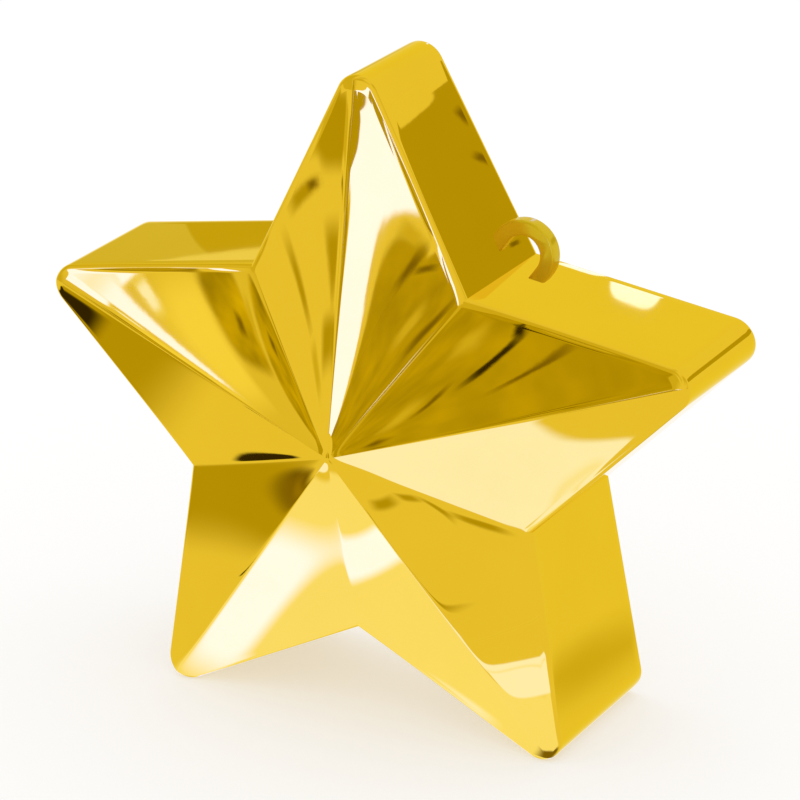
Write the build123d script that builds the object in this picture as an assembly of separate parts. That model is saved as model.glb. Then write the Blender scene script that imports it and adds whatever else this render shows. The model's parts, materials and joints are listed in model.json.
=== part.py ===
from build123d import *
import math
import os

# Star outline on the front rim, with its tips drawn sharp
arm_count = 5
tip_radius = 52.0
notch_radius = 26.5
tip_rounding = 3.0

# Body: the rim is upright, and the back leans so that the body is deeper at its feet
body_depth = 21.6
apex_height = 8.1
draft_angle = 1.0
back_lean_angle = 4.8

# Rounding of the front rim, drawn as narrow flats between the wall and the facets
rim_rounding = 0.8
rim_flat_count = 2

# Moulded shell
shell_wall = 1.4
inner_rounding = 0.4

# Back cover, let into a step in the shell's open back
cover_thickness = 1.6
cover_lip = 0.7
cover_clearance = 0.1
skirt_wall = 1.0
skirt_depth = 2.0

# Cast ballast
casting_gap = 0.1
fill_gap = 0.4

# Ribbon loop in the notch between the top arm and the right arm
loop_bore_radius = 2.9
loop_thickness = 1.7
loop_width = 2.0
loop_rear_distance = 7.9
loop_reach = 3.2
loop_edge_break = 0.3
slot_clearance = 0.1
barb_reach = 0.8
barb_height = 1.2

# Cuts and blanks run this far past what they cut
overrun = 5.0

# Angles of the star
half_step = math.pi / arm_count
tip_half_angle = math.atan2(
    notch_radius * math.sin(half_step),
    tip_radius - notch_radius * math.cos(half_step),
)
notch_half_angle = tip_half_angle + half_step
wall_draft = math.radians(draft_angle)
back_lean = math.radians(back_lean_angle)

# Places of the star in the frame: feet on the floor, box centred front to back
tip_centre_radius = tip_radius - tip_rounding / math.sin(tip_half_angle)
centre_height = (tip_centre_radius * math.cos(half_step) + tip_rounding) * math.cos(wall_draft)
foot_depth = body_depth + centre_height * math.tan(back_lean)
rim_y = (apex_height - foot_depth) / 2
edge_distance = tip_radius * math.sin(tip_half_angle)
facet_slope = math.atan2(apex_height, edge_distance)
span = 2 * (tip_radius + foot_depth)


def star_plane(depth, lift=0.0):
    """Plane facing the front at a depth behind the rim. A lift turns it so that what runs back rises."""
    facing = (0, -math.cos(lift), -math.sin(lift))
    rim = Plane(origin=(0, rim_y, centre_height), x_dir=(1, 0, 0), z_dir=facing)
    return rim.offset(-depth)


def star_corners(tip, notch):
    """Corners of a sharp star, tip and notch by turns, from the top clockwise."""
    corners = []
    for step in range(2 * arm_count):
        angle = math.pi / 2 - step * half_step
        reach = notch if step % 2 else tip
        corners.append((reach * math.cos(angle), reach * math.sin(angle)))
    return corners


def star_outline(inset):
    """Star with rounded tips, drawn in by an inset."""
    tip = tip_radius - inset / math.sin(tip_half_angle)
    notch = notch_radius - inset / math.sin(notch_half_angle)
    outline = make_face(Polyline(*star_corners(tip, notch), close=True))
    tips = outline.vertices().sort_by(lambda corner: Vector(corner).length)[-arm_count:]
    return fillet(tips, max(tip_rounding - inset, inner_rounding))


def tapered_column(near, far, inset, taper, lift=0.0):
    """Star column between two depths, drawn on the rim plane and widening backwards from there."""
    column = extrude(star_plane(near, lift) * star_outline(inset), near - far)
    walls = column.faces().filter_by(star_plane(near, lift), reverse=True)
    return draft(walls, star_plane(0.0, lift), math.degrees(taper))


def star_column(inset):
    """Moulded walls, run past the apex and the back, and lifted by their draft so that the feet are level."""
    return tapered_column(-apex_height - overrun, foot_depth + overrun, inset, wall_draft, wall_draft)


def faceted_front(set_back):
    """Everything behind the ten facets, which meet at one apex and slope alike."""
    base_depth = set_back + overrun
    reach_scale = (apex_height + overrun) / apex_height
    base_corners = star_corners(tip_radius * reach_scale, notch_radius * reach_scale)
    base = make_face(Polyline(*base_corners, close=True))
    apex = Vertex(0, rim_y + set_back - apex_height, centre_height)
    cap = loft([star_plane(base_depth) * base, apex], ruled=True)
    block = extrude(star_plane(base_depth) * Rectangle(span, span), -span)
    return cap + block


def back_plane(inward):
    """Leaning plane of the back face, moved inward by a distance."""
    lean_normal = (0, math.cos(back_lean), math.sin(back_lean))
    face = Plane(origin=(0, rim_y + body_depth, centre_height), x_dir=(1, 0, 0), z_dir=lean_normal)
    return face.offset(-inward)


def ahead_of_back(inward):
    return extrude(back_plane(inward) * Rectangle(span, span), -span)


def back_slab(near, far):
    return extrude(back_plane(far) * Rectangle(span, span), far - near)


def star_body(inset):
    """Faceted star, drawn in by an inset on its facets and walls alike."""
    return star_column(inset) & faceted_front(inset / math.cos(facet_slope))


def rim_trim(flat):
    """What one flat of the rounded rim takes off, all round the star."""
    turn = (math.pi / 2 - facet_slope) * flat / (rim_flat_count + 1)
    centre_depth = rim_rounding * (1 - math.sin(facet_slope)) / math.cos(facet_slope)
    inset = rim_rounding - (rim_rounding - centre_depth * math.sin(turn)) / math.cos(turn)
    near = -2 * rim_rounding
    far = 2 * rim_rounding / math.tan(turn)
    slab = extrude(star_plane(near) * Rectangle(span, span), near - far)
    return slab - tapered_column(near, far, inset, turn)


# Ribbon loop: an arch on two legs that snap through slots in the notch's walls, ahead of the back face
loop_outer_radius = loop_bore_radius + loop_thickness
loop_front_depth = body_depth - loop_rear_distance - loop_width
loop_middle_depth = loop_front_depth + loop_width / 2
loop_swell = loop_middle_depth * math.tan(wall_draft)
loop_notch_radius = notch_radius + loop_swell / math.sin(notch_half_angle)
wall_inside = (
    loop_outer_radius / math.tan(notch_half_angle)
    - shell_wall / math.sin(notch_half_angle)
)
barb_top = wall_inside - slot_clearance - loop_reach


def loop_plane(depth):
    """Plane of the loop's arch, with its Y axis pointing straight out of the notch."""
    reach = loop_notch_radius + loop_reach
    out_x = math.sin(half_step)
    out_z = math.cos(half_step)
    place = (reach * out_x, rim_y + depth, centre_height + loop_swell + reach * out_z)
    return Plane(origin=place, x_dir=(out_z, 0, -out_x), z_dir=(0, -1, 0))


def loop_solid(growth, with_barbs):
    """Loop, or with a growth the space it takes in the pieces that hold it."""
    outer = loop_outer_radius + growth
    bore = loop_bore_radius - growth
    leg_end = barb_top - barb_height - growth
    arch = Circle(outer) - Circle(bore)
    arch -= Pos(0, -outer) * Rectangle(2 * outer, 2 * outer)
    profile = arch
    for side in (-1, 1):
        leg_middle = side * (outer + bore) / 2
        profile += Pos(leg_middle, leg_end / 2) * Rectangle(outer - bore, -leg_end)
        if with_barbs:
            catch = make_face(Polyline(
                (side * outer, leg_end),
                (side * (outer + barb_reach), barb_top + growth),
                (side * outer, barb_top + growth),
                close=True,
            ))
            profile += catch
    front = loop_plane(loop_front_depth - growth)
    return extrude(front * profile, -(loop_width + 2 * growth))


def tie_loop():
    loop = loop_solid(0.0, True)
    arch_edges = loop.edges().filter_by(GeomType.CIRCLE)
    return chamfer(arch_edges, loop_edge_break)


def star_shell():
    """Thin star, open at the back, stepped there for the cover and slotted for the loop."""
    shell = star_body(0.0) & ahead_of_back(0.0)
    for flat in range(1, rim_flat_count + 1):
        shell -= rim_trim(flat)
    shell -= star_body(shell_wall)
    shell -= star_column(cover_lip) & back_slab(-overrun, cover_thickness)
    return shell - loop_solid(slot_clearance, False)


def back_cover():
    """Star plate on the shell's step, with a skirt that centres it inside the walls."""
    plate = star_column(cover_lip + cover_clearance) & back_slab(0.0, cover_thickness)
    skirt_inset = shell_wall + cover_clearance
    skirt = star_column(skirt_inset) - star_column(skirt_inset + skirt_wall)
    return plate + (skirt & back_slab(cover_thickness, cover_thickness + skirt_depth))


def ballast_block():
    """Filling cast in the shell up to the cover's skirt, round the loop's legs."""
    block = star_body(shell_wall + casting_gap)
    block &= ahead_of_back(cover_thickness + skirt_depth + fill_gap)
    return block - loop_solid(casting_gap, True)


pieces = {
    "star_shell": star_shell(),
    "tie_loop": tie_loop(),
    "ballast_block": ballast_block(),
    "back_cover": back_cover(),
}

os.makedirs("parts", exist_ok=True)
for name, piece in pieces.items():
    export_step(piece, f"parts/{name}.step")
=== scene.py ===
import json
import math
import bpy
import numpy as np
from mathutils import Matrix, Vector

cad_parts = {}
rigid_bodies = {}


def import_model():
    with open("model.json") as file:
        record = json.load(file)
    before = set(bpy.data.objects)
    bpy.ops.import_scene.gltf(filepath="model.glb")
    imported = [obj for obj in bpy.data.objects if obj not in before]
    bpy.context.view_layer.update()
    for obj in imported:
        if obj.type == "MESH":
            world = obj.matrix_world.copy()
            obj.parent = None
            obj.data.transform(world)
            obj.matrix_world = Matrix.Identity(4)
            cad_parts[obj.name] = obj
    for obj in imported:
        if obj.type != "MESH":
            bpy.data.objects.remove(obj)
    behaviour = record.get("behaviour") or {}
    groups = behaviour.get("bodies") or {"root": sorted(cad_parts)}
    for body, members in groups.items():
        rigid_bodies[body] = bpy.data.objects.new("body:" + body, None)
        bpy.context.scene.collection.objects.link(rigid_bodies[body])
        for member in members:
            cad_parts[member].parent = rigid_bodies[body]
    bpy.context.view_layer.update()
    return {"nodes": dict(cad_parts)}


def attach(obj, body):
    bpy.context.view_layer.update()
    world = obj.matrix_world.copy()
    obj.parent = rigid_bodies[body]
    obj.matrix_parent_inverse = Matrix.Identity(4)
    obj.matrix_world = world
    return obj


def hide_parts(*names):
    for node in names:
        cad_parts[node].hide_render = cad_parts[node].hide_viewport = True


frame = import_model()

# Star shell: one thin star moulding, open at the back, with ten facets that rise to an apex on its front.
# It is injection-moulded polystyrene, metallised in a vacuum and lacquered gold, so that it mirrors like
# foil. The mould's creases are a little soft, and shrinkage has drawn the facets slightly hollow.
mm = 0.001
arm_count = 5
tip_radius = 52.0 * mm
notch_radius = 26.5 * mm
tip_rounding = 3.0 * mm
body_depth = 21.6 * mm
apex_height = 8.1 * mm
rim_rounding = 0.8 * mm
shell_wall = 1.4 * mm
cover_thickness = 1.6 * mm
cover_lip = 0.7 * mm
back_edge_rounding = 0.3 * mm
wall_draft = math.radians(1.0)
back_lean = math.radians(4.8)
apex_bluntness = 0.9 * mm
ridge_softness = math.radians(0.35)
valley_crispness = math.radians(0.6)
valley_softness = math.radians(10.0)
valley_soft_share = 0.5
facet_hollow_share = 0.008
weld_distance = 0.001 * mm
crease_angle = math.radians(30.0)

# Ripples of the facets. Their height is a share of the distance from the apex, and grows from weak to full
# between two headings, each given by how steeply it rises from the apex.
ripple_height_share = 0.00012
weak_ripple_share = 0.15
weak_heading_rise = -0.2
full_heading_rise = 0.5
ripple_width = math.radians(7.0)
ripple_seed = 3.0

# Steps of an arm's mesh, crowded towards the tip, the notch and the apex
tip_steps = 18
tip_crowding = 1.5
edge_steps = 76
notch_crowding = 1.2
facet_steps = 48
apex_crowding = 1.25
rim_steps = 8
wall_shares = (0.02, 0.08, 0.2, 0.35, 0.5, 0.65, 0.8, 0.92)
back_edge_steps = 4
inside_shares = (0.8, 0.5, 0.25, 0.0)

# Angles and places that follow from the sizes
half_step = math.pi / arm_count
tip_half_angle = math.atan2(
    notch_radius * math.sin(half_step),
    tip_radius - notch_radius * math.cos(half_step),
)
notch_half_angle = tip_half_angle + half_step
tip_centre_radius = tip_radius - tip_rounding / math.sin(tip_half_angle)
centre_height = (tip_centre_radius * math.cos(half_step) + tip_rounding) * math.cos(wall_draft)
foot_depth = body_depth + centre_height * math.tan(back_lean)
rim_y = (apex_height - foot_depth) / 2
facet_slope = math.atan2(apex_height, tip_radius * math.sin(tip_half_angle))


def half_outline(inset):
    """Points of half an arm's outline from the tip to the notch, and how they move as the outline grows."""
    arc_shares = np.linspace(0.0, 1.0, tip_steps + 1)[:-1] ** tip_crowding
    edge_shares = 1.0 - (1.0 - np.linspace(0.0, 1.0, edge_steps + 1)) ** notch_crowding
    angles = arc_shares * (math.pi / 2 - tip_half_angle)
    arc_ways = np.c_[np.sin(angles), np.cos(angles)]
    arc = np.array([0.0, tip_centre_radius]) + (tip_rounding - inset) * arc_ways
    last_way = np.array([math.cos(tip_half_angle), math.sin(tip_half_angle)])
    notch_way = np.array([math.sin(half_step), math.cos(half_step)])
    start = np.array([0.0, tip_centre_radius]) + (tip_rounding - inset) * last_way
    notch = (notch_radius - inset / math.sin(notch_half_angle)) * notch_way
    edge = start + edge_shares[:, None] * (notch - start)
    edge_ways = last_way + edge_shares[:, None] * (notch_way / math.sin(notch_half_angle) - last_way)
    return np.r_[arc, edge], np.r_[arc_ways, edge_ways]


def arm_outline(inset):
    """The whole arm's outline, from its left notch over the tip to its right notch."""
    points, ways = half_outline(inset)
    mirror = np.array([-1.0, 1.0])
    return np.r_[(points * mirror)[:0:-1], points], np.r_[(ways * mirror)[:0:-1], ways]


def valley_round(angle):
    """Angle from a valley, rounded off there by its crisp crease and by the facets' slow turn to it."""
    crisp = np.hypot(angle, valley_crispness)
    slow = np.hypot(angle, valley_softness)
    return crisp + valley_soft_share * (slow - crisp)


def facet_depth(points):
    """Depth of the facets behind the rim plane: two planes to an arm, soft creases and a slight hollow."""
    radius = np.hypot(points[:, 0], points[:, 1])
    angle = np.abs(np.arctan2(points[:, 0], points[:, 1]))
    angle = half_step - valley_round(half_step - angle) / valley_round(half_step) * half_step
    ridge_part = 1.0 / tip_radius
    side_part = (1.0 / notch_radius - math.cos(half_step) / tip_radius) / math.sin(half_step)
    fall = apex_height * (ridge_part * np.cos(angle) + side_part * np.hypot(np.sin(angle), ridge_softness))
    # The hollow is a parabola across the facet, deepest half way
    across_share = angle / half_step
    fall = fall + 4 * facet_hollow_share * across_share * (1.0 - across_share)
    mean_fall = apex_height * (1.0 / tip_radius + 1.0 / notch_radius) / 2
    blend = radius ** 2 / (radius ** 2 + apex_bluntness ** 2)
    return np.hypot(radius, apex_bluntness) * (mean_fall + blend * (fall - mean_fall)) - apex_height


def arm_rings():
    """Rings of one arm: from the apex over the rim, down the wall, round the back edge and up inside."""
    rings = []

    def add_ring(points, ways, depth, back_share=0.0, ahead=0.0):
        depth = np.broadcast_to(depth, len(points))
        rings.append((points, ways, depth, back_share, ahead))

    rim_turn = math.pi / 2 - facet_slope
    rim_start = rim_rounding * (1.0 - math.sin(facet_slope))
    points, ways = arm_outline(rim_start)
    still = np.zeros_like(ways)
    for share in np.linspace(0.0, 1.0, facet_steps + 1) ** apex_crowding:
        add_ring(points * share, still, facet_depth(points * share))
    rim_gap = facet_depth(points) + rim_start * math.tan(facet_slope)
    centre_depth = rim_start / math.cos(facet_slope)
    for turn in np.linspace(rim_turn, 0.0, rim_steps + 1)[1:]:
        points, ways = arm_outline(rim_rounding * (1.0 - math.cos(turn)))
        gap_left = rim_gap * turn / rim_turn
        add_ring(points, still, centre_depth - rim_rounding * math.sin(turn) + gap_left)
    points, ways = arm_outline(0.0)
    for share in wall_shares:
        add_ring(points, ways, centre_depth, share)
    for turn in np.linspace(0.0, math.pi / 2, back_edge_steps + 1):
        points, ways = arm_outline(back_edge_rounding * (1.0 - math.cos(turn)))
        add_ring(points, ways, 0.0, 1.0, back_edge_rounding * (1.0 - math.sin(turn)))
    points, ways = arm_outline(cover_lip)
    add_ring(points, ways, 0.0, 1.0)
    add_ring(points, ways, 0.0, 1.0, cover_thickness)
    points, ways = arm_outline(shell_wall)
    add_ring(points, ways, 0.0, 1.0, cover_thickness)
    inside = shell_wall / math.cos(facet_slope)
    add_ring(points, still, facet_depth(points) + inside)
    for share in inside_shares:
        add_ring(points * share, still, facet_depth(points * share) + inside)
    return rings


def arm_mesh():
    """Mesh of one arm about the star's axis, with what carries its walls back stored on its points."""
    points, ways, depths, back_shares, aheads = zip(*arm_rings())
    row = len(points[0])
    points = np.concatenate(points)
    ways = np.concatenate(ways)
    places = np.c_[points[:, 0], np.concatenate(depths), points[:, 1]]
    grow_ways = np.c_[ways[:, 0], np.zeros(len(ways)), ways[:, 1]]
    ring_starts = row * np.arange(len(depths) - 1)
    firsts = (ring_starts[:, None] + np.arange(row - 1)).ravel()
    faces = np.c_[firsts, firsts + 1, firsts + row + 1, firsts + row]
    mesh = bpy.data.meshes.new("star_arm")
    mesh.from_pydata(places.tolist(), [], faces.tolist())
    mesh.attributes.new("grow_way", "FLOAT_VECTOR", "POINT").data.foreach_set("vector", grow_ways.ravel())
    for name, values in (("back_share", back_shares), ("ahead_of_back", aheads)):
        mesh.attributes.new(name, "FLOAT", "POINT").data.foreach_set("value", np.repeat(values, row))
    return mesh


def add_node(tree, kind, inputs=None, **settings):
    """Adds a node with its settings. An input is a value, a socket or a node with its first output."""
    node = tree.nodes.new(kind)
    for name, value in settings.items():
        setattr(node, name, value)
    for socket, value in (inputs or {}).items():
        if isinstance(value, bpy.types.Node):
            value = value.outputs[0]
        if isinstance(value, bpy.types.NodeSocket):
            tree.links.new(value, node.inputs[socket])
        else:
            node.inputs[socket].default_value = value
    return node


def new_material(name):
    """A material and its empty node tree."""
    material = bpy.data.materials.new(name)
    material.use_nodes = True
    material.node_tree.nodes.clear()
    return material, material.node_tree


def linear(hex_code):
    """Linear colour of an sRGB hex value."""
    shares = [int(hex_code[k:k + 2], 16) / 255 for k in (1, 3, 5)]
    return tuple(s / 12.92 if s <= 0.04045 else ((s + 0.055) / 1.055) ** 2.4 for s in shares) + (1.0,)


# Gold-lacquered vacuum metal on polystyrene: a mirror whose lacquer tints what it shows, under a clear gloss
# skin. The moulding's faint orange peel and a thin haze keep the mirror from being perfect.
peel_width = 1.6 * mm
peel_depth = 0.02 * mm
haze_width = 14.0 * mm
gold_edge_tint = "#FFF7B3"


def metallised_gold():
    material, tree = new_material("metallised_gold_polystyrene")
    place = add_node(tree, "ShaderNodeTexCoord").outputs["Object"]
    peel = add_node(tree, "ShaderNodeTexNoise", {"Vector": place, "Scale": 1 / peel_width, "Detail": 2.0})
    haze = add_node(tree, "ShaderNodeTexNoise", {"Vector": place, "Scale": 1 / haze_width, "Detail": 3.0})
    tint = add_node(tree, "ShaderNodeMix", {
        "Factor": haze, "A": linear("#E5BB26"), "B": linear("#EAC12A"),
    }, data_type="RGBA").outputs["Result"]
    rough = add_node(tree, "ShaderNodeMapRange", {
        "Value": haze, "From Min": 0.3, "From Max": 0.75, "To Min": 0.008, "To Max": 0.022,
    })
    skin = add_node(tree, "ShaderNodeBump", {"Height": peel, "Strength": 0.012, "Distance": peel_depth})
    surface = add_node(tree, "ShaderNodeBsdfPrincipled", {
        "Base Color": tint, "Metallic": 1.0, "Roughness": rough, "Specular Tint": linear(gold_edge_tint),
        "Coat Weight": 0.05, "Coat Roughness": 0.03, "Coat IOR": 1.5, "Normal": skin,
    })
    add_node(tree, "ShaderNodeOutputMaterial", {"Surface": surface})
    return material


# The five arms are one moulded pattern turned about the star's axis. The same rule carries the walls back to
# the leaning rear plane with their draft, and adds the fan of faint ripples that runs from the apex.
def star_tree():
    tree = bpy.data.node_groups.new("five_arm_star", "GeometryNodeTree")
    face = tree.interface
    face.new_socket("Geometry", in_out="INPUT", socket_type="NodeSocketGeometry")
    face.new_socket("Geometry", in_out="OUTPUT", socket_type="NodeSocketGeometry")
    face.new_socket("Arm Count", in_out="INPUT", socket_type="NodeSocketInt")
    face.new_socket("Material", in_out="INPUT", socket_type="NodeSocketMaterial")
    for name in ("Rim Y", "Centre Height", "Body Depth", "Back Lean", "Wall Draft", "Ripple Height",
                 "Ripple Width", "Ripple Seed", "Weld Distance"):
        face.new_socket(name, in_out="INPUT", socket_type="NodeSocketFloat")
    sizes = add_node(tree, "NodeGroupInput").outputs

    # Five turned copies
    step = add_node(tree, "ShaderNodeMath", {0: 2 * math.pi, 1: sizes["Arm Count"]}, operation="DIVIDE")
    index = add_node(tree, "GeometryNodeInputIndex")
    turn = add_node(tree, "ShaderNodeMath", {0: index, 1: step}, operation="MULTIPLY")
    about_axis = add_node(tree, "FunctionNodeAxisAngleToRotation", {"Axis": (0, 1, 0), "Angle": turn})
    places = add_node(tree, "GeometryNodePoints", {"Count": sizes["Arm Count"]})
    arms = add_node(tree, "GeometryNodeInstanceOnPoints", {
        "Points": places, "Instance": sizes["Geometry"], "Rotation": about_axis,
    })
    turned = add_node(tree, "GeometryNodeStoreNamedAttribute", {
        "Geometry": arms, "Name": "arm_turn", "Value": turn,
    }, data_type="FLOAT", domain="INSTANCE")
    joined = add_node(tree, "GeometryNodeRealizeInstances", {"Geometry": turned})

    # Walls back to the leaning plane, growing and rising with their draft
    stored = {}
    for name, kind in (("arm_turn", "FLOAT"), ("back_share", "FLOAT"), ("ahead_of_back", "FLOAT"),
                       ("grow_way", "FLOAT_VECTOR")):
        reader = add_node(tree, "GeometryNodeInputNamedAttribute", {"Name": name}, data_type=kind)
        stored[name] = reader.outputs["Attribute"]
    spot = add_node(tree, "GeometryNodeInputPosition")
    axes = add_node(tree, "ShaderNodeSeparateXYZ", {0: spot}).outputs
    lean_rise = add_node(tree, "ShaderNodeMath", {0: sizes["Back Lean"]}, operation="TANGENT")
    lean = add_node(tree, "ShaderNodeMath", {0: axes["Z"], 1: lean_rise}, operation="MULTIPLY")
    rear = add_node(tree, "ShaderNodeMath", {0: sizes["Body Depth"], 1: lean}, operation="SUBTRACT")
    between = add_node(tree, "ShaderNodeMix", {
        "Factor": stored["back_share"], "A": axes["Y"], "B": rear,
    }, data_type="FLOAT")
    depth = add_node(tree, "ShaderNodeMath", {0: between, 1: stored["ahead_of_back"]}, operation="SUBTRACT")
    draft_rise = add_node(tree, "ShaderNodeMath", {0: sizes["Wall Draft"]}, operation="TANGENT")
    growth = add_node(tree, "ShaderNodeMath", {0: depth, 1: draft_rise}, operation="MULTIPLY")
    way = add_node(tree, "ShaderNodeVectorRotate", {
        "Vector": stored["grow_way"], "Axis": (0, 1, 0), "Angle": stored["arm_turn"],
    }, rotation_type="AXIS_ANGLE")
    growing = add_node(tree, "ShaderNodeVectorMath", {"Vector": way, "Scale": growth}, operation="SCALE")
    grown = add_node(tree, "ShaderNodeVectorMath", {0: spot, 1: growing}, operation="ADD")
    grown_axes = add_node(tree, "ShaderNodeSeparateXYZ", {0: grown}).outputs
    on_wall = add_node(tree, "ShaderNodeMath", {0: stored["back_share"], 1: 0.0}, operation="GREATER_THAN")
    lift = add_node(tree, "ShaderNodeMath", {0: growth, 1: on_wall}, operation="MULTIPLY")
    lifted = add_node(tree, "ShaderNodeMath", {0: grown_axes["Z"], 1: lift}, operation="ADD")
    height = add_node(tree, "ShaderNodeMath", {0: lifted, 1: sizes["Centre Height"]}, operation="ADD")
    set_back = add_node(tree, "ShaderNodeMath", {0: depth, 1: sizes["Rim Y"]}, operation="ADD")
    placed = add_node(tree, "ShaderNodeCombineXYZ", {"X": grown_axes["X"], "Y": set_back, "Z": height})
    walled = add_node(tree, "GeometryNodeSetPosition", {"Geometry": joined, "Position": placed})
    welded = add_node(tree, "GeometryNodeMergeByDistance", {
        "Geometry": walled, "Distance": sizes["Weld Distance"],
    })

    # Ripples that fan out from the apex, on the facets alone and strongest on the upper ones
    rise = add_node(tree, "ShaderNodeMath", {0: axes["Z"], 1: sizes["Centre Height"]}, operation="SUBTRACT")
    across = add_node(tree, "ShaderNodeCombineXYZ", {"X": axes["X"], "Z": rise})
    radius = add_node(tree, "ShaderNodeVectorMath", {0: across}, operation="LENGTH").outputs["Value"]
    heading = add_node(tree, "ShaderNodeVectorMath", {0: across}, operation="NORMALIZE")
    fan_scale = add_node(tree, "ShaderNodeMath", {0: 1.0, 1: sizes["Ripple Width"]}, operation="DIVIDE")
    fan = add_node(tree, "ShaderNodeTexNoise", {
        "Vector": heading, "W": sizes["Ripple Seed"], "Scale": fan_scale, "Detail": 2.0, "Roughness": 0.45,
    }, noise_dimensions="4D")
    upward = add_node(tree, "ShaderNodeSeparateXYZ", {0: heading}).outputs["Z"]
    strength = add_node(tree, "ShaderNodeMapRange", {
        "Value": upward, "From Min": weak_heading_rise, "From Max": full_heading_rise,
        "To Min": weak_ripple_share, "To Max": 1.0,
    })
    ripple_height = add_node(tree, "ShaderNodeMath", {
        0: strength, 1: sizes["Ripple Height"],
    }, operation="MULTIPLY")
    swing = add_node(tree, "ShaderNodeMath", {0: fan, 1: 0.5}, operation="SUBTRACT")
    wave = add_node(tree, "ShaderNodeMath", {0: swing, 1: ripple_height}, operation="MULTIPLY")
    fanned = add_node(tree, "ShaderNodeMath", {0: wave, 1: radius}, operation="MULTIPLY")
    on_facet = add_node(tree, "ShaderNodeMath", {0: axes["Y"], 1: sizes["Rim Y"]}, operation="LESS_THAN")
    ripple = add_node(tree, "ShaderNodeMath", {0: fanned, 1: on_facet}, operation="MULTIPLY")
    offset = add_node(tree, "ShaderNodeCombineXYZ", {"Y": ripple})
    rippled = add_node(tree, "GeometryNodeSetPosition", {"Geometry": welded, "Offset": offset})
    smooth = add_node(tree, "GeometryNodeSetShadeSmooth", {"Geometry": rippled})
    whole = add_node(tree, "GeometryNodeRealizeInstances", {"Geometry": smooth})
    finished = add_node(tree, "GeometryNodeSetMaterial", {"Geometry": whole, "Material": sizes["Material"]})
    add_node(tree, "NodeGroupOutput", {"Geometry": finished})
    return tree


def from_nodes(name, mesh, tree, values):
    """Plain mesh object of what a node tree makes of a mesh, with the tree's inputs set by name."""
    source = bpy.data.objects.new(name + "_source", mesh)
    bpy.context.scene.collection.objects.link(source)
    modifier = source.modifiers.new("shape", "NODES")
    modifier.node_group = tree
    for item in tree.interface.items_tree:
        if item.in_out == "INPUT" and item.name in values:
            modifier[item.identifier] = values[item.name]
    graph = bpy.context.evaluated_depsgraph_get()
    result = bpy.data.meshes.new_from_object(source.evaluated_get(graph))
    result.name = name
    source.modifiers.remove(modifier)
    bpy.data.objects.remove(source)
    piece = bpy.data.objects.new(name, result)
    bpy.context.scene.collection.objects.link(piece)
    return piece


shell = from_nodes("gold_star_shell", arm_mesh(), star_tree(), {
    "Arm Count": arm_count, "Material": metallised_gold(), "Rim Y": rim_y, "Centre Height": centre_height,
    "Body Depth": body_depth, "Back Lean": back_lean, "Wall Draft": wall_draft,
    "Ripple Height": ripple_height_share, "Ripple Width": ripple_width, "Ripple Seed": ripple_seed,
    "Weld Distance": weld_distance,
})
shell.data.set_sharp_from_angle(angle=crease_angle)
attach(shell, "root")
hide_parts("star_shell")


# Ballast: the filling that gives the weight, cast into the shell from behind and hidden by the back cover.
# It is a cement mortar, grey and matt, with sand grains, pale stains and small air holes in it.
sand_grain = 0.7 * mm
grain_depth = 0.15 * mm
stain_width = 12.0 * mm
air_hole_spacing = 4.0 * mm


def cast_mortar():
    material, tree = new_material("cast_cement_mortar")
    place = add_node(tree, "ShaderNodeTexCoord").outputs["Object"]
    grain = add_node(tree, "ShaderNodeTexNoise", {"Vector": place, "Scale": 1 / sand_grain, "Detail": 4.0})
    cloud = add_node(tree, "ShaderNodeTexNoise", {"Vector": place, "Scale": 1 / stain_width, "Detail": 3.0})
    holes = add_node(tree, "ShaderNodeTexVoronoi", {"Vector": place, "Scale": 1 / air_hole_spacing})
    pit = add_node(tree, "ShaderNodeMapRange", {
        "Value": holes, "From Min": 0.08, "From Max": 0.16, "To Min": 0.0, "To Max": 1.0,
    })
    mixed = add_node(tree, "ShaderNodeMix", {
        "Factor": grain, "A": linear("#918C82"), "B": linear("#B5B0A6"),
    }, data_type="RGBA").outputs["Result"]
    stained = add_node(tree, "ShaderNodeMix", {
        "Factor": cloud, "A": mixed, "B": linear("#A39D91"),
    }, data_type="RGBA").outputs["Result"]
    height = add_node(tree, "ShaderNodeMath", {0: grain, 1: pit}, operation="ADD")
    skin = add_node(tree, "ShaderNodeBump", {"Height": height, "Strength": 0.6, "Distance": grain_depth})
    surface = add_node(tree, "ShaderNodeBsdfPrincipled", {
        "Base Color": stained, "Roughness": 0.92, "Normal": skin,
    })
    add_node(tree, "ShaderNodeOutputMaterial", {"Surface": surface})
    return material


def dress(node, material):
    """Gives a CAD node that keeps its shape a better material."""
    slots = frame["nodes"][node].data.materials
    slots.clear()
    slots.append(material)


dress("ballast_block", cast_mortar())


# Ribbon loop: a small rigid arch that bridges the notch between the top arm and the right arm.
# It is moulded of gold-dyed polystyrene and snaps through the notch's walls. A thin coat of metal gives it
# a satin gold, duller than the shell's mirror.
loop_bore_radius = 2.5 * mm
loop_thickness = 2.0 * mm
loop_width = 2.1 * mm
loop_rounding = 0.75 * mm
loop_middle_depth = 12.7 * mm
loop_reach = 3.15 * mm
barb_reach = 0.8 * mm
barb_height = 1.2 * mm
barb_top_drop = 2.55 * mm
arch_steps = 32
loop_rounding_steps = 5
loop_crease_angle = math.radians(50.0)
loop_haze_width = 2.5 * mm
loop_swell = loop_middle_depth * math.tan(wall_draft)
loop_notch_radius = notch_radius + loop_swell / math.sin(notch_half_angle)


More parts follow.
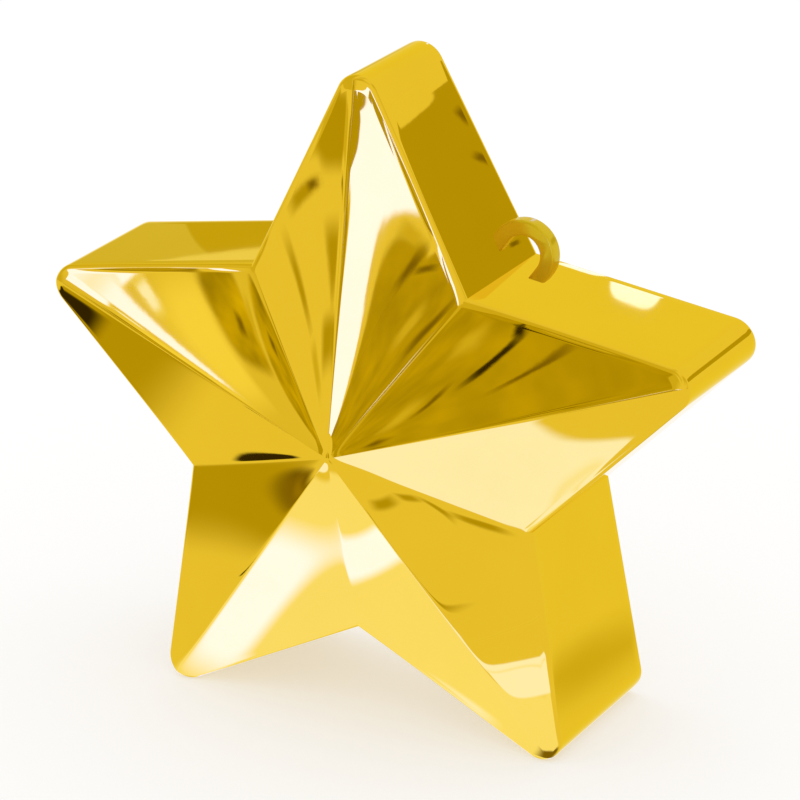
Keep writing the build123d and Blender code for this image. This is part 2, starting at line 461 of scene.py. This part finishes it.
def satin_gold():
    material, tree = new_material("satin_gold_polystyrene")
    place = add_node(tree, "ShaderNodeTexCoord").outputs["Object"]
    haze = add_node(tree, "ShaderNodeTexNoise", {
        "Vector": place, "Scale": 1 / loop_haze_width, "Detail": 3.0,
    })
    tint = add_node(tree, "ShaderNodeMix", {
        "Factor": haze, "A": linear("#CFB01A"), "B": linear("#D8B924"),
    }, data_type="RGBA").outputs["Result"]
    rough = add_node(tree, "ShaderNodeMapRange", {
        "Value": haze, "From Min": 0.3, "From Max": 0.7, "To Min": 0.14, "To Max": 0.22,
    })
    surface = add_node(tree, "ShaderNodeBsdfPrincipled", {
        "Base Color": tint, "Metallic": 0.6, "Roughness": rough,
        "Specular IOR Level": 0.15, "Specular Tint": linear(gold_edge_tint),
    })
    add_node(tree, "ShaderNodeOutputMaterial", {"Surface": surface})
    return material


def loop_profile():
    """Outline of the arch, its two legs and their barbs, with its height pointing out of the notch."""
    outer = loop_bore_radius + loop_thickness
    turns = np.linspace(0.0, math.pi, arch_steps + 1)
    leg_end = -barb_top_drop - barb_height
    outer_arc = [(outer * math.cos(t), outer * math.sin(t)) for t in turns]
    inner_arc = [(loop_bore_radius * math.cos(t), loop_bore_radius * math.sin(t)) for t in turns[::-1]]
    barb = [(outer, -barb_top_drop), (outer + barb_reach, -barb_top_drop), (outer, leg_end)]
    left_barb = [(-across, up) for across, up in barb]
    left_end = [(-loop_bore_radius, leg_end)]
    right_end = [(loop_bore_radius, leg_end)]
    return outer_arc + left_barb + left_end + inner_arc + right_end + barb[::-1]


def ribbon_loop():
    """The profile set across the notch, with its edges rounded. The shell's mirror walls don't show it."""
    outline = loop_profile()
    count = len(outline)
    reach = loop_notch_radius + loop_reach
    out_way = Vector((math.sin(half_step), 0.0, math.cos(half_step)))
    side_way = Vector((math.cos(half_step), 0.0, -math.sin(half_step)))
    middle = Vector((0.0, rim_y + loop_middle_depth, centre_height + loop_swell)) + reach * out_way
    places = []
    for depth in (-loop_width / 2, loop_width / 2):
        for across, up in outline:
            places.append(middle + across * side_way + up * out_way + Vector((0.0, depth, 0.0)))
    faces = [list(range(count)), list(range(2 * count - 1, count - 1, -1))]
    for k in range(count):
        after = (k + 1) % count
        faces.append([k, k + count, after + count, after])
    mesh = bpy.data.meshes.new("gold_ribbon_loop")
    mesh.from_pydata(places, [], faces)
    mesh.materials.append(satin_gold())
    loop = bpy.data.objects.new("gold_ribbon_loop", mesh)
    bpy.context.scene.collection.objects.link(loop)
    rounding = loop.modifiers.new("rounding", "BEVEL")
    rounding.width = loop_rounding
    rounding.segments = loop_rounding_steps
    rounding.limit_method = "ANGLE"
    rounding.angle_limit = loop_crease_angle
    mesh.shade_smooth()
    loop.visible_glossy = False
    return loop


loop = ribbon_loop()
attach(loop, "root")
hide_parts("tie_loop")


# Back cover: a flat star plate, pressed into the step round the shell's open back to close in the filling.
# It is moulded polystyrene dyed gold, with the satin of a sparked mould, and isn't metallised. The spark
# marks are drawn coarser than real ones, so that they show.
spark_width = 0.35 * mm
spark_depth = 0.02 * mm
flow_width = 22.0 * mm


def dyed_polystyrene():
    material, tree = new_material("dyed_satin_polystyrene")
    place = add_node(tree, "ShaderNodeTexCoord").outputs["Object"]
    spark = add_node(tree, "ShaderNodeTexNoise", {"Vector": place, "Scale": 1 / spark_width, "Detail": 2.0})
    flow = add_node(tree, "ShaderNodeTexNoise", {"Vector": place, "Scale": 1 / flow_width, "Detail": 3.0})
    tint = add_node(tree, "ShaderNodeMix", {
        "Factor": flow, "A": linear("#D0A636"), "B": linear("#DDB648"),
    }, data_type="RGBA").outputs["Result"]
    rough = add_node(tree, "ShaderNodeMapRange", {
        "Value": flow, "From Min": 0.3, "From Max": 0.7, "To Min": 0.34, "To Max": 0.46,
    })
    satin = add_node(tree, "ShaderNodeBump", {"Height": spark, "Strength": 0.35, "Distance": spark_depth})
    surface = add_node(tree, "ShaderNodeBsdfPrincipled", {
        "Base Color": tint, "Roughness": rough, "Normal": satin,
    })
    add_node(tree, "ShaderNodeOutputMaterial", {"Surface": surface})
    return material


dress("back_cover", dyed_polystyrene())


# Table: a wide white paper sheet that the weight stands on. It glows a little, so that it comes out as pale
# as the background and still keeps the weight's shadow. The gold mirrors it as plain white.
sheet_half = 3.0
sheet_glow = 0.46
white = linear("#FFFFFF")


def white_sheet():
    material, tree = new_material("white_sheet")
    path = add_node(tree, "ShaderNodeLightPath").outputs
    paper = add_node(tree, "ShaderNodeBsdfDiffuse", {"Color": linear("#C4C4C4")})
    glow = add_node(tree, "ShaderNodeEmission", {"Color": white, "Strength": sheet_glow})
    seen = add_node(tree, "ShaderNodeAddShader", {0: paper, 1: glow})
    mirrored = add_node(tree, "ShaderNodeEmission", {"Color": white})
    shown = add_node(tree, "ShaderNodeMixShader", {0: path["Is Glossy Ray"], 1: seen, 2: mirrored})
    add_node(tree, "ShaderNodeOutputMaterial", {"Surface": shown})
    return material


sheet_corners = [
    (-sheet_half, -sheet_half, 0.0),
    (sheet_half, -sheet_half, 0.0),
    (sheet_half, sheet_half, 0.0),
    (-sheet_half, sheet_half, 0.0),
]
sheet_mesh = bpy.data.meshes.new("white_sheet")
sheet_mesh.from_pydata(sheet_corners, [], [(0, 1, 2, 3)])
sheet_mesh.materials.append(white_sheet())
sheet = bpy.data.objects.new("white_sheet", sheet_mesh)
bpy.context.scene.collection.objects.link(sheet)


# Reflector cards and flags: what the mirror facets show. They lie on the table or hang round the star, have
# soft edges and show in reflections alone. The pale ones are bright in blue, because the gold takes nearly
# all blue out of what it mirrors. Flags are brown, because the darker gold is a warmer one.
card_centre = Vector((0.0, 0.0, 40.0 * mm))
card_distance = 500.0 * mm
layer_step = 0.2 * mm
table_layer_step = 0.05 * mm
card_grid = 12
cloth_width = 14.0 * mm
white_card = (1.4, 1.9, 32.0, 1.0)
cream_card = (1.25, 1.62, 16.0, 1.0)
straw_card = (1.2, 1.36, 5.0, 1.0)
pale_card = (1.15, 1.2, 1.6, 1.0)
plain_card = (1.0, 1.0, 1.0, 1.0)
tan_flag = (0.78, 0.74, 0.3, 1.0)
dull_flag = (0.67, 0.58, 0.05, 1.0)
brown_flag = (0.58, 0.52, 0.02, 1.0)
dark_flag = (0.25, 0.2, 0.01, 1.0)
black_flag = (0.04, 0.03, 0.0, 1.0)


# Plain cloth that glows in the card's own tone, mottled where the card says so. It thins out towards the
# card's rounded edge, where it takes the edge's tone.
def card_cloth():
    material, tree = new_material("reflector_card")
    stored = {}
    for name in ("radiance", "edge_radiance", "softness", "mottle"):
        stored[name] = add_node(tree, "ShaderNodeAttribute", attribute_name=name).outputs
    place = add_node(tree, "ShaderNodeUVMap", uv_map="card")
    squares = add_node(tree, "ShaderNodeVectorMath", {0: place, 1: place}, operation="MULTIPLY")
    length = add_node(tree, "ShaderNodeVectorMath", {0: squares}, operation="LENGTH").outputs["Value"]
    out = add_node(tree, "ShaderNodeMath", {0: length}, operation="SQRT")
    inner = add_node(tree, "ShaderNodeMath", {0: 1.0, 1: stored["softness"]["Fac"]}, operation="SUBTRACT")
    cover = add_node(tree, "ShaderNodeMapRange", {
        "Value": out, "From Min": inner, "From Max": 1.0, "To Min": 1.0, "To Max": 0.0,
    }, interpolation_type="SMOOTHSTEP")
    inside = add_node(tree, "ShaderNodeMapRange", {"Value": cover, "From Min": 0.5})
    graded = add_node(tree, "ShaderNodeMix", {
        "Factor": inside, "A": stored["edge_radiance"]["Color"], "B": stored["radiance"]["Color"],
    }, data_type="RGBA").outputs["Result"]
    spot = add_node(tree, "ShaderNodeTexCoord").outputs["Object"]
    cloth = add_node(tree, "ShaderNodeTexNoise", {"Vector": spot, "Scale": 1 / cloth_width, "Detail": 2.0})
    swing = add_node(tree, "ShaderNodeMapRange", {
        "Value": cloth, "From Min": 0.32, "From Max": 0.68, "To Min": -1.0, "To Max": 1.0,
    }, clamp=False)
    level = add_node(tree, "ShaderNodeMath", {
        0: swing, 1: stored["mottle"]["Fac"], 2: 1.0,
    }, operation="MULTIPLY_ADD")
    clear = add_node(tree, "ShaderNodeBsdfTransparent")
    light = add_node(tree, "ShaderNodeEmission", {"Color": graded, "Strength": level})
    shown = add_node(tree, "ShaderNodeMixShader", {0: cover, 1: clear, 2: light})
    add_node(tree, "ShaderNodeOutputMaterial", {"Surface": shown})
    return material


card_material = card_cloth()


def add_card(name, place_at, radiance, softness, mottle, rim):
    """A card with rounded corners, placed by two shares that run from -1 to 1 across and up it.

    Softness is the share of the card that fades out. Without a rim tone, a pale card fades to straw.
    """
    steps = np.linspace(-1.0, 1.0, card_grid + 1).tolist()
    shares = [(u, v) for v in steps for u in steps]
    row = card_grid + 1
    count = len(shares)
    firsts = [k for k in range(row * card_grid) if (k + 1) % row]
    faces = [(k, k + 1, k + row + 1, k + row) for k in firsts]
    mesh = bpy.data.meshes.new(name)
    mesh.from_pydata([place_at(u, v) for u, v in shares], [], faces)
    places = mesh.uv_layers.new(name="card")
    for corner, loop_corner in zip(places.data, mesh.loops):
        corner.uv = shares[loop_corner.vertex_index]
    rim = rim or tuple(min(level, most) for level, most in zip(radiance, straw_card))
    for kept_as, tone in (("radiance", radiance), ("edge_radiance", rim)):
        mesh.attributes.new(kept_as, "FLOAT_COLOR", "POINT").data.foreach_set("color", tone * count)
    for kept_as, share in (("softness", softness), ("mottle", mottle)):
        mesh.attributes.new(kept_as, "FLOAT", "POINT").data.foreach_set("value", [share] * count)
    mesh.materials.append(card_material)
    card = bpy.data.objects.new(name, mesh)
    card.visible_camera = False
    card.visible_diffuse = False
    card.visible_shadow = False
    bpy.context.scene.collection.objects.link(card)


def hang_card(name, azimuth, elevation, width, height, radiance, softness, roll=0.0, mottle=0.0, rim=None):
    """A card curved round the star, placed and sized by angles in degrees. Later cards hang in front."""
    az = math.radians(azimuth)
    el = math.radians(elevation)
    turn = math.radians(roll)
    away = Vector((math.sin(az) * math.cos(el), -math.cos(az) * math.cos(el), math.sin(el)))
    across = Vector((math.cos(az), math.sin(az), 0.0))
    above = away.cross(across)
    wide = (math.cos(turn) * across + math.sin(turn) * above) * math.tan(math.radians(width / 2))
    tall = (math.cos(turn) * above - math.sin(turn) * across) * math.tan(math.radians(height / 2))
    radius = card_distance - len(bpy.data.objects) * layer_step

    def place_at(u, v):
        return card_centre + radius * (away + u * wide + v * tall).normalized()

    add_card(name, place_at, radiance, softness, mottle, rim)


def lay_card(name, x, y, width, length, radiance, softness, roll=0.0, mottle=0.0, rim=None):
    """A card on the table, placed and sized in millimetres. Later cards lie on top of earlier ones."""
    turn = math.radians(roll)
    wide = Vector((math.cos(turn), math.sin(turn), 0.0)) * width * mm / 2
    tall = Vector((-math.sin(turn), math.cos(turn), 0.0)) * length * mm / 2
    middle = Vector((x * mm, y * mm, len(bpy.data.objects) * table_layer_step))

    def place_at(u, v):
        return middle + u * wide + v * tall

    add_card(name, place_at, radiance, softness, mottle, rim)


# On the table, shown by the lower facets, the lower right wall and the loop
lay_card("table_straw", 1.0, -24.0, 74.0, 38.0, straw_card, 0.1)
lay_card("table_white", -19.0, -20.5, 14.0, 42.0, white_card, 0.6, roll=26.0)
lay_card("table_cream", 10.0, -10.5, 32.0, 3.2, cream_card, 0.8, roll=7.0)
lay_card("table_front_cream", 9.0, -52.0, 64.0, 18.0, cream_card, 0.1)
lay_card("table_front_gold", 44.5, -56.4, 41.0, 13.4, plain_card, 0.12)
lay_card("table_right_cream", 32.6, -41.0, 11.0, 15.0, cream_card, 0.3, roll=-15.0)
# Painted contact shadow: a dark card at the lower right foot stands in for the star's shadow on the sheet,
# which the gold mirrors as plain white.
lay_card("table_foot_painted_shadow", 29.0, -9.5, 7.0, 4.0, dark_flag, 0.6)
lay_card("table_band", 28.0, -83.1, 2.8, 19.0, brown_flag, 0.7, roll=-27.0)
lay_card("table_band_bend", 23.0, -91.8, 9.5, 4.0, brown_flag, 0.8, roll=25.0)
lay_card("table_band_middle", 20.0, -100.0, 3.4, 17.0, brown_flag, 0.8)
lay_card("table_band_end", 23.9, -121.5, 3.8, 36.0, brown_flag, 0.8, roll=14.0)
lay_card("table_left_tan", -104.0, -38.0, 66.0, 60.0, brown_flag, 0.5)
lay_card("table_left_strip", -60.0, -31.5, 22.0, 9.0, plain_card, 0.4, roll=-14.0)
lay_card("table_left_black", -116.0, -24.0, 34.0, 14.0, black_flag, 0.35)
lay_card("table_front_dark", -103.0, -57.0, 28.0, 14.0, dark_flag, 0.7, roll=32.0, mottle=0.5)
lay_card("table_near_black", -60.2, -34.8, 13.0, 2.8, black_flag, 0.3, roll=-26.6)
# Painted shadow: a soft tan card beside the lower right foot stands in for the star's shadow on the sheet,
# which the gold mirrors as plain white.
lay_card("table_back_painted_shadow", 46.0, 28.0, 26.0, 60.0, tan_flag, 0.95)
lay_card("table_far_brown", -70.0, -165.0, 140.0, 110.0, brown_flag, 0.4)
lay_card("table_far_tan", -345.0, -209.0, 150.0, 14.0, tan_flag, 0.8, roll=28.0)
lay_card("table_far_streak", -370.0, -202.0, 150.0, 18.0, brown_flag, 0.8, roll=24.0)
# Front right, shown by the top arm's right facet and its ridge
hang_card("top_right_white", 9.0, 1.0, 16.0, 18.0, white_card, 0.02)
hang_card("top_right_arch_rim", 4.3, -2.4, 3.3, 14.2, plain_card, 0.05, roll=-21.0)
hang_card("top_right_arch", 4.3, -2.4, 2.9, 13.7, brown_flag, 0.14, roll=-21.0, mottle=0.1, rim=plain_card)
hang_card("top_right_brown", -1.05, -1.0, 13.9, 14.0, brown_flag, 0.03, mottle=0.15)
hang_card("top_ridge_brown", -16.1, 6.35, 48.4, 3.1, brown_flag, 0.008)
hang_card("top_ridge_tip", 7.2, 6.9, 2.6, 0.9, brown_flag, 0.1)
hang_card("top_ridge_left_brown", -35.0, 3.4, 34.0, 3.2, brown_flag, 0.1, roll=6.0)
hang_card("top_right_tan", 3.4, 1.9, 1.4, 2.6, tan_flag, 0.8)
hang_card("top_right_corner", 6.7, 3.4, 1.5, 0.8, tan_flag, 0.8)
hang_card("top_right_streak", 5.9, 2.6, 0.6, 2.4, dark_flag, 0.9)
hang_card("top_right_branch", 5.2, 3.1, 1.8, 0.4, dark_flag, 0.9, roll=-45.0)
hang_card("top_right_dark", 1.5, 3.4, 1.4, 4.0, dark_flag, 0.9)
# Front, shown by the right arm's upper facet and by the valley beside it
hang_card("right_upper_brown", -16.5, 15.2, 15.0, 13.0, brown_flag, 0.15, mottle=0.12)
hang_card("right_upper_tan", -14.4, 14.4, 2.0, 2.0, tan_flag, 0.9)
hang_card("right_upper_left_tan", -18.5, 13.7, 3.4, 1.4, tan_flag, 0.9)
hang_card("right_upper_left_dark", -20.9, 14.6, 1.6, 1.4, dark_flag, 0.9, mottle=0.3)
hang_card("right_upper_black", -15.75, 16.02, 3.6, 0.45, black_flag, 0.7, roll=29.0)
hang_card("right_upper_black_end", -14.5, 16.45, 0.8, 0.6, black_flag, 0.8)
hang_card("right_upper_dark", -15.6, 17.48, 4.4, 0.28, dark_flag, 0.8, roll=31.0)
hang_card("right_upper_low_dark", -17.8, 14.6, 2.6, 0.5, dark_flag, 0.9, roll=10.0)
hang_card("valley_dark", -5.0, 6.0, 2.0, 6.0, dark_flag, 0.8, roll=-30.0)
hang_card("valley_white", -8.0, 7.0, 1.4, 6.0, white_card, 0.8, roll=-30.0)
hang_card("valley_low_white", -2.0, 3.0, 1.2, 6.0, white_card, 0.8, roll=-30.0)
# Front left, shown by the left arm's upper facet and by the valley above it
hang_card("left_upper_pale", -37.6, 13.6, 7.0, 2.4, pale_card, 0.6, roll=-8.0)
hang_card("left_upper_white", -42.1, 15.5, 3.3, 2.4, white_card, 0.2)
hang_card("left_upper_streak", -38.5, 14.84, 8.0, 0.26, white_card, 0.5, roll=-14.7)
hang_card("left_upper_cream", -39.85, 14.85, 1.9, 0.32, cream_card, 0.7, roll=-14.0)
hang_card("left_upper_brown", -39.2, 11.7, 5.0, 3.0, brown_flag, 0.3, roll=-14.0, mottle=0.3)
hang_card("left_upper_tan", -39.8, 10.4, 3.0, 0.5, tan_flag, 0.8)
hang_card("left_upper_dark", -38.9, 11.5, 1.4, 0.7, dark_flag, 0.9)
hang_card("left_low_brown", -39.5, 7.4, 8.0, 5.4, brown_flag, 0.15, mottle=0.3)
hang_card("left_low_dark", -40.1, 8.7, 1.4, 0.9, dark_flag, 0.9)
# Left, shown by the top arm's left facet
hang_card("top_left_tan", -61.0, 1.2, 6.0, 2.2, tan_flag, 0.4)
hang_card("top_left_brown", -63.1, 1.0, 1.6, 3.2, brown_flag, 0.5)
hang_card("top_left_ridge", -62.6, -3.4, 1.2, 4.0, brown_flag, 0.6)
hang_card("top_left_smudge", -61.3, -0.6, 2.8, 0.8, brown_flag, 0.8, roll=-8.0)
hang_card("top_left_dark", -61.95, -0.5, 0.9, 0.5, dark_flag, 0.9)
hang_card("top_left_streak", -59.35, -2.9, 1.0, 4.6, brown_flag, 0.85)
# Behind, shown by the walls
hang_card("top_wall_brown", 147.7, 13.8, 18.0, 9.0, brown_flag, 0.01, roll=-9.5)
hang_card("top_wall_light", 147.3, 18.5, 1.9, 0.9, plain_card, 0.2, roll=-6.0)
hang_card("top_wall_mark", 148.35, 17.05, 0.45, 0.9, dark_flag, 0.8)
hang_card("top_wall_low_mark", 147.8, 15.65, 0.4, 1.0, dark_flag, 0.8, roll=25.0)
hang_card("top_wall_slot", 146.5, 13.1, 0.45, 0.22, dark_flag, 0.7, roll=-20.0)
hang_card("right_wall_white", 192.95, 29.3, 1.9, 3.2, white_card, 0.12)
hang_card("right_wall_edge_white", 195.4, 24.0, 1.6, 11.0, white_card, 0.2)
hang_card("left_wall_tan", 219.0, 12.0, 20.0, 16.0, tan_flag, 0.5)
hang_card("left_wall_dull", 216.35, 10.4, 5.6, 6.0, dull_flag, 0.04)
hang_card("left_wall_strip", 218.6, 13.42, 5.0, 1.2, plain_card, 0.2, roll=-12.0)


# Room: a plain white studio, even on all sides for what it lights, so that shadows stay soft.
# In what the gold mirrors it falls off to tan in broad, soft patches.
room_patch_scale = 1.1


def studio():
    world = bpy.data.worlds.new("studio")
    world.use_nodes = True
    tree = world.node_tree
    tree.nodes.clear()
    path = add_node(tree, "ShaderNodeLightPath").outputs
    way = add_node(tree, "ShaderNodeTexCoord").outputs["Generated"]
    cloud = add_node(tree, "ShaderNodeTexNoise", {"Vector": way, "Scale": room_patch_scale, "Detail": 1.0})
    share = add_node(tree, "ShaderNodeMapRange", {
        "Value": cloud, "From Min": 0.42, "From Max": 0.55, "To Min": 0.0, "To Max": 1.0,
    })
    colour = add_node(tree, "ShaderNodeMix", {
        "Factor": share, "A": tan_flag, "B": white,
    }, data_type="RGBA").outputs["Result"]
    mirrored = add_node(tree, "ShaderNodeBackground", {"Color": colour})
    plain = add_node(tree, "ShaderNodeBackground", {"Color": white})
    shown = add_node(tree, "ShaderNodeMixShader", {0: path["Is Glossy Ray"], 1: plain, 2: mirrored})
    add_node(tree, "ShaderNodeOutputWorld", {"Surface": shown})
    return world


bpy.context.scene.world = studio()

# Camera: the photograph's view, from the right and a little above. Its angles, distance and lens come from
# a fit of the star's corners.
camera_azimuth = math.radians(28.24)
camera_elevation = math.radians(20.1)
camera_distance = 434.0 * mm
camera_aim = Vector((4.3 * mm, -4.8 * mm, 44.7 * mm))
lens = bpy.data.cameras.new("camera")
lens.lens = 151.3
lens.sensor_width = 36.0
camera = bpy.data.objects.new("camera", lens)
bpy.context.scene.collection.objects.link(camera)
backwards = Vector((
    math.sin(camera_azimuth) * math.cos(camera_elevation),
    -math.cos(camera_azimuth) * math.cos(camera_elevation),
    math.sin(camera_elevation),
))
camera.location = camera_aim + camera_distance * backwards
camera.rotation_euler = backwards.to_track_quat("Z", "Y").to_euler()
bpy.context.scene.camera = camera
bpy.context.scene.view_settings.view_transform = "Standard"
